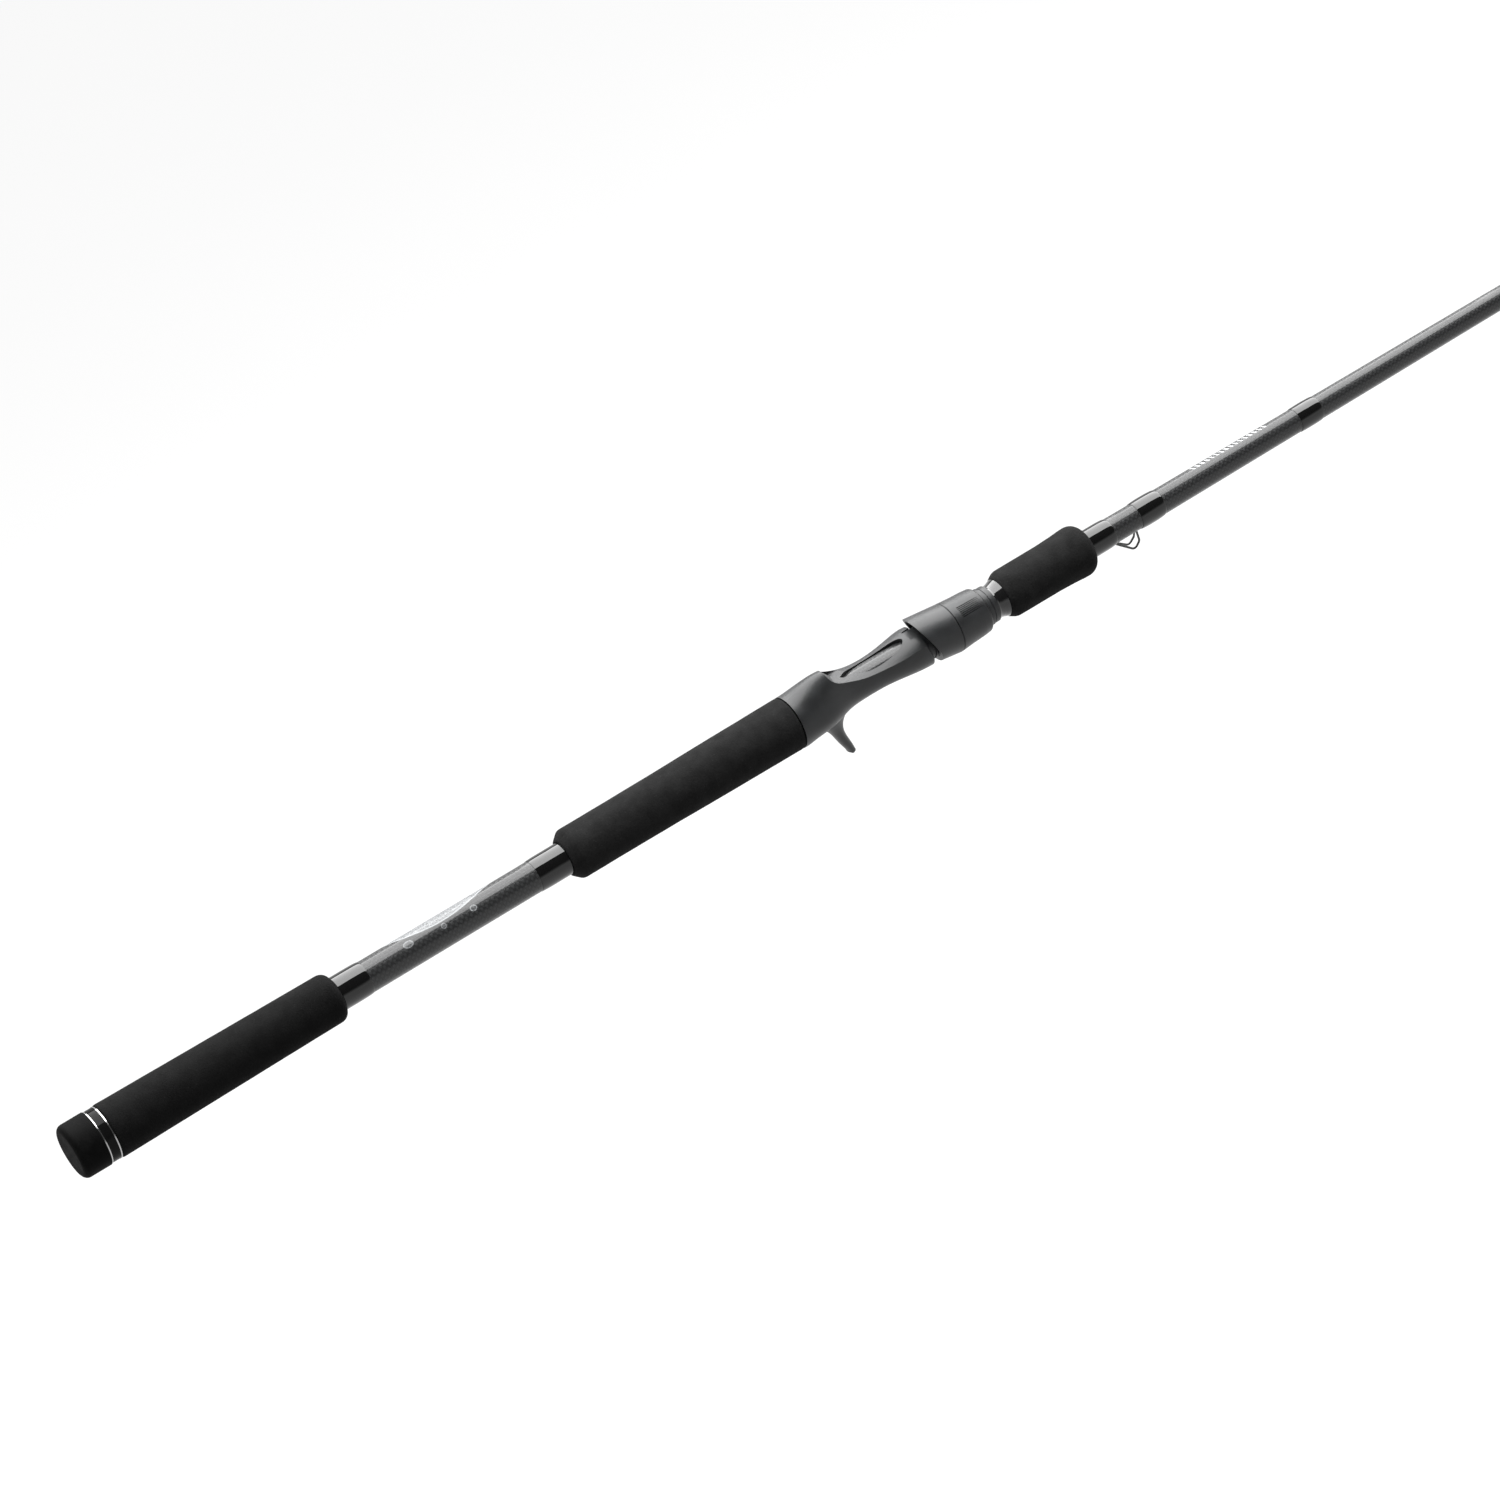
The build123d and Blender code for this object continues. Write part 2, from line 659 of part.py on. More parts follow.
def guide_places():
    """Where the guides stand, from the butt to the tip."""
    places, back = [], 0.0
    for index in range(len(RING_SIZES)):
        back += FIRST_SPACING * SPACING_GROWTH ** index
        places.append(ROD_LENGTH - back)
    return list(reversed(places))


for number, (x, size) in enumerate(zip(guide_places(), RING_SIZES), start=1):
    blank = butt_radius if x < FERRULE_START else tip_radius
    frame, rear_foot, front_foot = guide_frame(x, blank, size)
    save(frame, f"guide_{number}_frame")
    save(ceramic_ring(x, blank(x) + guide_height(size), size), f"guide_{number}_ring")
    wraps = [guide_wrap(blank, *rear_foot), guide_wrap(blank, *front_foot)]
    save(Compound(children=wraps), f"guide_{number}_wraps")

# ---------------------------------------------------------------- ferrule and tip top
ferrule_outline = wrap_outline(tip_radius, FERRULE_START + 0.5, FERRULE_START + 34.0, 0.4)
ferrule_bore = [(x, tip_radius(x) + GLUE) for x in (FERRULE_START + 34.0, FERRULE_START + 0.5)]
save(turned([*ferrule_outline, *ferrule_bore]), "ferrule_wrap")

TIP_RING_SIZE = 10
TIP_TUBE_START = ROD_LENGTH - 16.0
TIP_TUBE_END = ROD_LENGTH - 2.5
TIP_TUBE_RADIUS = 1.95
tip_ring_x = ROD_LENGTH - RING_WIDTH / 2
tip_ring_height = TIP_TUBE_RADIUS + TIP_RING_SIZE / 2 + FRAME_BAND - 0.3

tip_band = ring_band(tip_ring_x, tip_ring_height, TIP_RING_SIZE, RING_WIDTH - 0.5)
tip_struts = [
    strut(
        (TIP_TUBE_START + 3.0, side * 1.2, TIP_TUBE_RADIUS - 0.6),
        (tip_ring_x, side * 5.0, tip_ring_height - 2.0), 0.55, 0.55,
    )
    for side in (1, -1)
]
with BuildPart() as tip_top_frame:
    with BuildSketch(section_plane(TIP_TUBE_START)):
        Circle(TIP_TUBE_RADIUS)
    extrude(amount=TIP_TUBE_END - TIP_TUBE_START)
    add([tip_band, *tip_struts])
    with BuildSketch(section_plane(TIP_TUBE_END - 3.0)):
        with Locations((0, TIP_TUBE_RADIUS - 0.7)):
            Rectangle(2.0, 1.4)
    extrude(amount=tip_ring_x - TIP_TUBE_END + 3.0)
    with BuildSketch(section_plane(tip_ring_x - 6)):
        with Locations((0, tip_ring_height)):
            Circle(TIP_RING_SIZE / 2 + 0.02)
    extrude(amount=12, mode=Mode.SUBTRACT)
    with BuildSketch(section_plane(TIP_TUBE_START - 1)):
        Circle(tip_radius(TIP_TUBE_START - 1) + GLUE)
    with BuildSketch(section_plane(ROD_LENGTH - 3.9)):
        Circle(tip_radius(ROD_LENGTH - 3.9) + GLUE)
    loft(mode=Mode.SUBTRACT)
save(tip_top_frame.part, "tip_top_frame")
save(ceramic_ring(tip_ring_x, tip_ring_height, TIP_RING_SIZE), "tip_top_ring")

tip_wrap = (TIP_TUBE_START - 9.0, TIP_TUBE_START - 0.2)
tip_wrap_bore = [(x, tip_radius(x) + GLUE) for x in reversed(tip_wrap)]
save(turned([*wrap_outline(tip_radius, *tip_wrap, 0.35, 1.5), *tip_wrap_bore]), "tip_top_wrap")
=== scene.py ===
"""Looks of a two-piece casting rod with a split handle and a trigger reel seat.

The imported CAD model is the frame.  The rod's axis lies along +X from the butt to the tip, the line
guides stand on the +Z side, and every length here is in metres.
"""

import json
import math

import bmesh
import bpy
from mathutils import Matrix, Vector, noise

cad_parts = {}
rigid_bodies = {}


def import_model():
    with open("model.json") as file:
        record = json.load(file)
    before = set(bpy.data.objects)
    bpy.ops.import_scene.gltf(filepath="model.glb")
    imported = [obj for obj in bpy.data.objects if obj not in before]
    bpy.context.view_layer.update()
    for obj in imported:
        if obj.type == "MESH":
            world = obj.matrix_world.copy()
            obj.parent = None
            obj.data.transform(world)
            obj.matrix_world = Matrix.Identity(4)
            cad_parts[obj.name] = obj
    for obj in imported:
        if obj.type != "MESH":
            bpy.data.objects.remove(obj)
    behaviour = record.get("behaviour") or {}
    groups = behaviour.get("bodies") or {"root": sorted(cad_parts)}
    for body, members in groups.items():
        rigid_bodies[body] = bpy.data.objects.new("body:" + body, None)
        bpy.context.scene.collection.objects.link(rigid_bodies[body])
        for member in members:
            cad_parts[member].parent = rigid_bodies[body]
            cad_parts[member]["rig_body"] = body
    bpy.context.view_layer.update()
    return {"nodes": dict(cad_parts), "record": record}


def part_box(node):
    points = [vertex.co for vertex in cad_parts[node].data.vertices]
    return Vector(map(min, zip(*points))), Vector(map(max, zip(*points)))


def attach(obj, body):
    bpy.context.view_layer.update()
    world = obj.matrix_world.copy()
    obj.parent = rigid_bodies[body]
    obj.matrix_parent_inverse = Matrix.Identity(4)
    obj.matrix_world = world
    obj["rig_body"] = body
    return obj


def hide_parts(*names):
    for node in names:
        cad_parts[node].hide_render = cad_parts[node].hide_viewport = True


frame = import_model()
MM = 0.001


# ---------------------------------------------------------------- camera
TILT = math.radians(20.5)        # how far the tip leans away from the camera
ROLL = math.radians(43.0)        # how far the guides' side is turned towards the camera
SLOPE = math.radians(30.93)      # slope of the rod in the picture
DISTANCE = 2.465                 # from the camera to the point it aims at
AIM = Vector((0.3984, 0.0, 0.0))
DROP = 1.3 * MM                  # how far the camera stands below the rod, across it in the picture
SENSOR = 36.0
LENS = 118.32


def camera_turn():
    """The camera's rotation, worked out from how the rod lies in the picture."""
    along = Vector((math.cos(SLOPE), math.sin(SLOPE), 0.0))
    across = Vector((-math.sin(SLOPE), math.cos(SLOPE), 0.0))
    away = Vector((0.0, 0.0, -1.0))
    rod_x = math.cos(TILT) * along + math.sin(TILT) * away
    facing = math.sin(TILT) * along - math.cos(TILT) * away
    rod_z = math.cos(ROLL) * across + math.sin(ROLL) * facing
    rod_y = rod_z.cross(rod_x)
    return Matrix((rod_x, rod_y, rod_z)), -across


def make_camera():
    """The scene's camera, at the photograph's angle."""
    turn, below = camera_turn()
    data = bpy.data.cameras.new("camera")
    data.sensor_width = SENSOR
    data.lens = LENS
    camera = bpy.data.objects.new("camera", data)
    back = turn @ Vector((0.0, 0.0, 1.0))
    place = AIM + DISTANCE * back + DROP * (turn @ below)
    camera.matrix_world = Matrix.Translation(place) @ turn.to_4x4()
    bpy.context.scene.collection.objects.link(camera)
    bpy.context.scene.camera = camera


# ---------------------------------------------------------------- light and floor
PANEL_DISTANCE = 1.2
PANEL_LENGTH = 3.6
PANEL_WIDTH = 0.554
PANEL_CENTRE = 1.2               # along the rod
PANEL_ANGLES = (95, 121, 147)    # degrees over the rod, from the camera's side to the far side
PANEL_RADIANCE = 8.5
FLOOR_DEPTH = 0.95
FLOOR_REACH = 60.0
FLOOR_MOTTLING = 0.4             # size of the floor's faint blotches
FLOOR_GREYS = (0.1, 0.115)
FLOOR_GLOW = 0.9
HORIZON, OVERHEAD = 0.05, 0.4    # heights in the sky between which the room's light fades
HORIZON_LIGHT, OVERHEAD_LIGHT = 0.95, 0.08


def make_panels():
    """Three long soft panels above and behind the rod."""
    for number, degrees in enumerate(PANEL_ANGLES, 1):
        data = bpy.data.lights.new(f"panel_{number}", "AREA")
        data.shape = "RECTANGLE"
        data.size = PANEL_LENGTH
        data.size_y = PANEL_WIDTH
        data.energy = PANEL_RADIANCE * math.pi * PANEL_LENGTH * PANEL_WIDTH
        panel = bpy.data.objects.new(f"panel_{number}", data)
        angle = math.radians(degrees)
        out = Vector((0.0, -math.cos(angle), math.sin(angle)))
        along = Vector((1.0, 0.0, 0.0))
        turn = Matrix((along, out.cross(along), out)).transposed()
        place = Vector((PANEL_CENTRE, 0.0, 0.0)) + PANEL_DISTANCE * out
        panel.matrix_world = Matrix.Translation(place) @ turn.to_4x4()
        panel.visible_camera = False
        bpy.context.scene.collection.objects.link(panel)


def make_world():
    """A plain room: pale near the horizon and dim overhead, so that the camera's side stays dark."""
    world = bpy.data.worlds.new("room")
    world.use_nodes = True
    tree = world.node_tree
    coordinates = tree.nodes.new("ShaderNodeTexCoord")
    split = tree.nodes.new("ShaderNodeSeparateXYZ")
    fade = tree.nodes.new("ShaderNodeMapRange")
    fade.interpolation_type = "SMOOTHSTEP"
    fade.inputs["From Min"].default_value = HORIZON
    fade.inputs["From Max"].default_value = OVERHEAD
    fade.inputs["To Min"].default_value = HORIZON_LIGHT
    fade.inputs["To Max"].default_value = OVERHEAD_LIGHT
    background = tree.nodes["Background"]
    tree.links.new(coordinates.outputs["Generated"], split.inputs[0])
    tree.links.new(split.outputs["Z"], fade.inputs["Value"])
    tree.links.new(fade.outputs[0], background.inputs["Strength"])
    background.inputs["Color"].default_value = (1.0, 1.0, 1.0, 1.0)
    bpy.context.scene.world = world


def make_floor():
    """A plain pale floor well below the rod."""
    mesh = bpy.data.meshes.new("floor")
    shape = bmesh.new()
    bmesh.ops.create_grid(shape, x_segments=8, y_segments=8, size=FLOOR_REACH)
    shape.to_mesh(mesh)
    shape.free()
    floor = bpy.data.objects.new("floor", mesh)
    floor.location = (PANEL_CENTRE, 0.0, -FLOOR_DEPTH)
    bpy.context.scene.collection.objects.link(floor)
    look = Look("pale_floor", Roughness=0.9, Specular_IOR_Level=0.0)
    darker, lighter = FLOOR_GREYS
    look.colour(look.mix(look.noise(FLOOR_MOTTLING), grey(darker), grey(lighter)))
    look.shader.inputs["Emission Color"].default_value = grey(1.0)
    look.shader.inputs["Emission Strength"].default_value = FLOOR_GLOW
    mesh.materials.append(look.material)


# ---------------------------------------------------------------- materials
def grey(value, blue=0.0):
    """A grey, a little cooler where blue is above 0."""
    return (value, value * (1.0 + 0.5 * blue), value * (1.0 + blue), 1.0)


# the Mix node's sockets for numbers and for colours, which share their names
MIX_NUMBERS, MIXED_NUMBER = (2, 3), 0
MIX_COLOURS, MIXED_COLOUR = (6, 7), 2


class Look:
    """One procedural material: its node tree, and short ways to add to it."""

    def __init__(self, name, **shader):
        self.material = bpy.data.materials.new(name)
        self.material.use_nodes = True
        self.tree = self.material.node_tree
        self.shader = self.tree.nodes["Principled BSDF"]
        for socket, value in shader.items():
            self.shader.inputs[socket.replace("_", " ")].default_value = value
        self.place = self.node("TexCoord").outputs["Object"]
        self.x, self.y, self.z = self.node("SeparateXYZ", Vector=self.place).outputs
        self.angle = self.math("ARCTAN2", self.y, self.z)    # 0 on top, positive to the far side

    def put(self, socket, value):
        """Links another node's output to a socket, or sets a plain value."""
        if isinstance(value, bpy.types.NodeSocket):
            self.tree.links.new(value, socket)
        else:
            socket.default_value = value

    def node(self, kind, **inputs):
        """A new shader node of this kind with its inputs set or linked."""
        made = self.tree.nodes.new("ShaderNode" + kind)
        for name, value in inputs.items():
            self.put(made.inputs[name.replace("_", " ")], value)
        return made

    def math(self, operation, *values):
        """The result of a Math node's operation on values."""
        made = self.node("Math")
        made.operation = operation
        for socket, value in zip(made.inputs, values):
            self.put(socket, value)
        return made.outputs[0]

    def span(self, value, low, high, start=0.0, end=1.0):
        """value carried from low..high to start..end, eased and held at both ends."""
        made = self.node("MapRange", Value=value, From_Min=low, From_Max=high, To_Min=start, To_Max=end)
        made.interpolation_type = "SMOOTHSTEP"
        return made.outputs[0]

    def scaled(self, sizes):
        """The place on the piece, in units of sizes along x, y and z."""
        made = self.node("VectorMath")
        made.operation = "DIVIDE"
        self.put(made.inputs[0], self.place)
        self.put(made.inputs[1], sizes)
        return made.outputs[0]

    def noise(self, size, detail=3.0, roughness=0.55, stretch=(1.0, 1.0, 1.0)):
        """Noise from 0 to 1 with features of about size, lengthened by stretch."""
        place = self.scaled([size * s for s in stretch])
        made = self.node("TexNoise", Vector=place, Scale=1.0, Detail=detail, Roughness=roughness)
        return made.outputs[0]

    def cells(self, size, feature="F1"):
        """Distance in cells of about size: to the cell's middle, or to its edge."""
        made = self.node("TexVoronoi", Vector=self.scaled([size] * 3), Scale=1.0)
        made.feature = feature
        return made.outputs["Distance"]

    def mix(self, share, first, second):
        """A colour between first and second."""
        made = self.node("Mix")
        made.data_type = "RGBA"
        self.put(made.inputs[0], share)
        self.put(made.inputs[MIX_COLOURS[0]], first)
        self.put(made.inputs[MIX_COLOURS[1]], second)
        return made.outputs[MIXED_COLOUR]

    def between(self, share, first, second):
        """A number between first and second."""
        made = self.node("Mix")
        self.put(made.inputs[0], share)
        self.put(made.inputs[MIX_NUMBERS[0]], first)
        self.put(made.inputs[MIX_NUMBERS[1]], second)
        return made.outputs[MIXED_NUMBER]

    def ridge(self, value, period):
        """A rounded ridge, 0 to 1, that repeats every period of value."""
        return self.math("ABSOLUTE", self.math("SINE", self.math("MULTIPLY", value, math.pi / period)))

    def colour(self, value):
        self.put(self.shader.inputs["Base Color"], value)

    def roughness(self, value):
        self.put(self.shader.inputs["Roughness"], value)

    def relief(self, *layers):
        """Raises the surface by the sum of height (0 to 1) times depth (metres)."""
        total = 0.0
        for height, depth in layers:
            total = self.math("MULTIPLY_ADD", height, depth, total)
        bump = self.node("Bump", Height=total, Distance=1.0, Strength=1.0)
        self.put(self.shader.inputs["Normal"], bump.outputs["Normal"])


# ---------------------------------------------------------------- blank
TOW = 1.5 * MM                   # width of a tow of the blank's woven carbon
TOWS_AROUND = 32
FIBRE = 0.12 * MM
FIBRE_LENGTH = 14.0              # times its width
WEAVE_RELIEF = 0.035 * MM
BLANK_WAVE, BLANK_WAVE_HEIGHT = 6 * MM, 0.02 * MM

ORNAMENT_START, ORNAMENT_END = 0.180, 0.247
ORNAMENT_ANGLE = math.radians(38)
ORNAMENT_SPREAD = math.radians(56)
ORNAMENT_MESH = 0.9 * MM
# x, degrees over the top, half length in mm and half spread in degrees of each drop
DROPS = ((0.1925, -26, 3.0, 14), (0.2125, -34, 1.5, 11), (0.2300, -33, 2.0, 12))
DASHES_START, DASHES_END = 0.686, 0.738
DASH_PITCH = 3.2 * MM
DASH_SLANT = 0.9 * MM
DASH_ANGLE = math.radians(14)
DASH_SPREAD = math.radians(13)
ORNAMENT_SILVER, DASH_SILVER = (0.19, 0.06), (0.5, 0.04)    # grey's value and blue
PRINT_ROUGHNESS = 0.42


def ornament(look):
    """Silver print on the butt section: a long pointed oval of fine mesh, with three drops under it."""
    middle = (ORNAMENT_START + ORNAMENT_END) / 2
    half = (ORNAMENT_END - ORNAMENT_START) / 2
    along = look.math("DIVIDE", look.math("SUBTRACT", look.x, middle), half)
    taper = look.math("SUBTRACT", 1.0, look.math("MULTIPLY", along, along))
    off = look.math("ABSOLUTE", look.math("SUBTRACT", look.angle, ORNAMENT_ANGLE))
    inside = look.math("SUBTRACT", taper, look.math("DIVIDE", off, ORNAMENT_SPREAD))
    field = look.span(inside, 0.0, 0.03)
    rim = look.math("MULTIPLY", field, look.span(inside, 0.10, 0.16, 1.0, 0.0))
    mesh = look.span(look.cells(ORNAMENT_MESH, "DISTANCE_TO_EDGE"), 0.06, 0.2, 0.85, 0.25)
    print_ = look.math("MAXIMUM", look.math("MULTIPLY", field, mesh), rim)
    for place, degrees, length, spread in DROPS:
        dx = look.math("DIVIDE", look.math("SUBTRACT", look.x, place), length * MM)
        turned = look.math("SUBTRACT", look.angle, math.radians(degrees))
        da = look.math("DIVIDE", turned, math.radians(spread))
        reach = look.math("ADD", look.math("MULTIPLY", dx, dx), look.math("MULTIPLY", da, da))
        drop = look.span(reach, 0.8, 1.0, 1.0, 0.0)
        hollow = look.span(reach, 0.35, 0.6, 0.35, 1.0)
        worn = look.span(look.noise(0.7 * MM), 0.4, 0.6, 0.45, 0.9)
        fill = look.math("MULTIPLY", look.math("MULTIPLY", drop, hollow), worn)
        print_ = look.math("MAXIMUM", print_, fill)
    return print_


def dashes(look):
    """A row of slanted silver strokes on the butt section."""
    height = look.math("DIVIDE", look.math("SUBTRACT", look.angle, DASH_ANGLE), DASH_SPREAD)
    slanted = look.math("MULTIPLY_ADD", height, DASH_SLANT, look.x)
    stroke = look.span(look.ridge(slanted, DASH_PITCH), 0.35, 0.5, 1.0, 0.0)
    band = look.span(look.math("ABSOLUTE", height), 0.8, 1.0, 1.0, 0.0)
    start = look.math("GREATER_THAN", look.x, DASHES_START)
    end = look.math("LESS_THAN", look.x, DASHES_END)
    length = look.math("MULTIPLY", start, end)
    return look.math("MULTIPLY", look.math("MULTIPLY", stroke, band), length)


def carbon(name, printed):
    """Satin clear-coated carbon: plain-woven flat tows, their crowns and one set of tows painted lighter
    as sheen, with silver print where printed.
    """
    look = Look(name, Specular_IOR_Level=0.3, Coat_Weight=0.25, Coat_Roughness=0.12)
    around = look.math("MULTIPLY", look.angle, TOWS_AROUND / math.tau)
    along = look.math("DIVIDE", look.x, TOW)
    step = look.math("ADD", look.math("FLOOR", around), look.math("FLOOR", along))
    over = look.math("LESS_THAN", look.math("FLOORED_MODULO", step, 2.0), 1.0)
    crown = look.between(over, look.ridge(along, 1.0), look.ridge(around, 1.0))
    fibre = look.noise(FIBRE, stretch=(FIBRE_LENGTH, 1.0, 1.0))
    # shade is painted sheen: lighter on each tow's crown and on the tows that lie over, darker between
    # tows; fibre adds the carbon's own streaks
    shade = look.math("MULTIPLY_ADD", crown, 0.4, look.math("MULTIPLY", over, 0.35))
    weave_and_sheen = look.mix(look.math("MULTIPLY_ADD", fibre, 0.25, shade), grey(0.003), grey(0.026, 0.06))
    rough = look.between(over, 0.30, 0.36)
    if printed:
        print_ = look.math("MAXIMUM", ornament(look), dashes(look))
        on_dashes = look.math("GREATER_THAN", look.x, DASHES_START)
        silver = look.mix(on_dashes, grey(*ORNAMENT_SILVER), grey(*DASH_SILVER))
        weave_and_sheen = look.mix(print_, weave_and_sheen, silver)
        rough = look.between(print_, rough, PRINT_ROUGHNESS)
    look.colour(weave_and_sheen)
    look.roughness(rough)
    look.relief((crown, WEAVE_RELIEF), (look.noise(BLANK_WAVE), BLANK_WAVE_HEIGHT))
    return look.material


# ---------------------------------------------------------------- other materials
THREAD = 0.28 * MM
ROUND_ROD = (1.0, 60.0, 60.0)    # stretches noise into lines that run round the rod
ROUND_TRIM = (1.0, 80.0, 80.0)
ALONG_WIRE = (8.0, 8.0, 1.0)
ALONG_FRAME = (1.0, 1.0, 30.0)


def thread():
    """Black winding thread laid side by side under a thick clear epoxy coat."""
    look = Look("thread_under_epoxy", Specular_IOR_Level=0.0, Coat_Weight=1.0, Coat_Roughness=0.025)
    turns = look.ridge(look.x, THREAD)
    lay = look.noise(0.5 * MM, stretch=ROUND_ROD)
    # painted sheen: each turn is painted lighter on its crown and darker between turns; lay varies single
    # threads' darkness at random
    tone = look.math("MULTIPLY_ADD", turns, 0.6, look.math("MULTIPLY", lay, 0.4))
    look.colour(look.mix(tone, grey(0.001), grey(0.004)))
    look.roughness(look.between(turns, 0.6, 0.4))
    look.relief((turns, 0.05 * MM), (lay, 0.02 * MM))
    return look.material


def foam(name, dark, light):
    """Ground closed-cell foam: matt, finely pitted, slightly mottled and flecked."""
    look = Look(name, Specular_IOR_Level=0.06)
    pits = look.span(look.cells(0.55 * MM), 0.15, 0.55)
    blotch = look.noise(7 * MM, detail=5.0)
    grain = look.noise(0.9 * MM, detail=4.0)
    tone = look.math("MULTIPLY_ADD", grain, 0.6, look.math("MULTIPLY", blotch, 0.5))
    base = look.mix(look.span(tone, 0.3, 0.8), grey(dark), grey(light))
    speck = look.span(look.cells(2.3 * MM), 0.05, 0.12, 1.0, 0.0)
    look.colour(look.mix(look.math("MULTIPLY", speck, 0.5), base, grey(light * 3.0)))
    look.roughness(look.span(grain, 0.3, 0.7, 0.78, 0.95))
    look.relief((pits, 0.09 * MM), (grain, 0.12 * MM), (blotch, 0.25 * MM))
    return look.material


def rubber():
    """The moulded butt cap: satin, with fine texture and faint scuffs."""
    look = Look("butt_cap_rubber", Specular_IOR_Level=0.03)
    grain = look.noise(0.35 * MM, detail=4.0)
    scuff = look.noise(5 * MM, detail=6.0, roughness=0.7)
    look.colour(look.mix(look.span(scuff, 0.35, 0.75), grey(0.002), grey(0.004)))
    look.roughness(look.span(scuff, 0.3, 0.7, 0.58, 0.74))
    look.relief((grain, 0.03 * MM), (scuff, 0.05 * MM))
    return look.material


# x and radius of the lock nut's outside at both ends of its finger pads
PAD_REAR, PAD_REAR_RADIUS = 529.2 * MM, 13.45 * MM
PAD_FRONT, PAD_FRONT_RADIUS = 542.4 * MM, 12.6 * MM


def soft_plastic(name, shade_rib_gaps=False):
    """The reel seat's moulded plastic with a fine matt grain; for the lock nut, painted shade darkens the
    gaps between the ribs of its pads.
    """
    look = Look(name, Specular_IOR_Level=0.35)
    grain = look.cells(0.28 * MM)
    flow = look.noise(9 * MM, detail=4.0)
    fine = look.noise(0.5 * MM, detail=2.0)
    tone = look.math("MULTIPLY_ADD", flow, 0.7, look.math("MULTIPLY", fine, 0.3))
    colour = look.mix(look.span(tone, 0.3, 0.7), grey(0.009, 0.08), grey(0.015, 0.12))
    if shade_rib_gaps:
        # painted shade: the pads are painted darker the deeper their surface lies below the outer radius,
        # near black 0.4 mm in, so the gaps between the ribs look shaded
        outside = look.span(look.x, PAD_REAR, PAD_FRONT, PAD_REAR_RADIUS, PAD_FRONT_RADIUS)
        square_z = look.math("MULTIPLY", look.z, look.z)
        radius = look.math("SQRT", look.math("MULTIPLY_ADD", look.y, look.y, square_z))
        depth = look.math("SUBTRACT", outside, radius)
        on_pad = look.math("GREATER_THAN", look.x, PAD_REAR)
        painted_groove_shade = look.math("MULTIPLY", on_pad, look.span(depth, 0.1 * MM, 0.4 * MM))
        colour = look.mix(painted_groove_shade, colour, grey(0.001))
    look.colour(colour)
    look.roughness(look.span(flow, 0.3, 0.7, 0.36, 0.44))
    look.relief((grain, 0.014 * MM), (fine, 0.008 * MM))
    return look.material


def gloss_trim(name, coat):
    """Glossy black trim with a faint haze and hairlines round it; coat is how clear its gloss is."""
    look = Look(name, Specular_IOR_Level=0.1 * coat, Coat_Weight=coat, Coat_Roughness=0.03)
    haze = look.noise(4 * MM, detail=5.0)
    lines = look.noise(0.2 * MM, stretch=ROUND_TRIM)
    look.colour(look.mix(haze, grey(0.002), grey(0.006)))
    look.roughness(look.span(haze, 0.35, 0.7, 0.1, 0.2))
    look.relief((lines, 0.004 * MM))
    return look.material


def metal(name, dark, light, low, high, brushed):
    """Metal between two colours and two roughnesses, its hairlines stretched by brushed along x, y, z."""
    look = Look(name, Metallic=1.0)
    haze = look.noise(3 * MM, detail=5.0)
    lines = look.noise(0.15 * MM, stretch=brushed)
    tone = look.math("MULTIPLY_ADD", lines, 0.5, look.math("MULTIPLY", haze, 0.5))
    look.colour(look.mix(tone, dark, light))
    look.roughness(look.span(haze, 0.3, 0.7, low, high))
    look.relief((lines, 0.003 * MM))
    return look.material


def ceramic():
    """A guide ring's polished dark ceramic."""
    look = Look("ring_ceramic", Coat_Weight=0.8, Coat_Roughness=0.03)
    body = look.noise(0.6 * MM, detail=5.0)
    look.colour(look.mix(body, grey(0.02, 0.1), grey(0.05, 0.15)))
    look.roughness(look.span(body, 0.3, 0.7, 0.1, 0.18))
    look.relief((body, 0.002 * MM))
    return look.material


def moulded(name, dark, light, depth):
    """Plain moulded stuff for what is hardly seen: arbors and the hood's lining."""
    look = Look(name, Specular_IOR_Level=0.3)
    grain = look.noise(0.4 * MM, detail=4.0)
    look.colour(look.mix(grain, grey(dark), grey(light)))
    look.roughness(look.span(grain, 0.3, 0.7, 0.6, 0.85))
    look.relief((grain, depth))
    return look.material


# ---------------------------------------------------------------- turned pieces
AROUND = 96                      # points in each ring of a turned piece


def radii_by_x(node):
    """Every vertex's distance from the rod's axis, in lists by x."""
    radii = {}
    for vertex in frame["nodes"][node].data.vertices:
        x, y, z = vertex.co
        radii.setdefault(round(x, 6), []).append(math.hypot(y, z))
    return radii


def end_bores(node):
    """A turned CAD node's bore radius at its rear and front ends."""
    radii = radii_by_x(node)
    return min(radii[min(radii)]), min(radii[max(radii)])


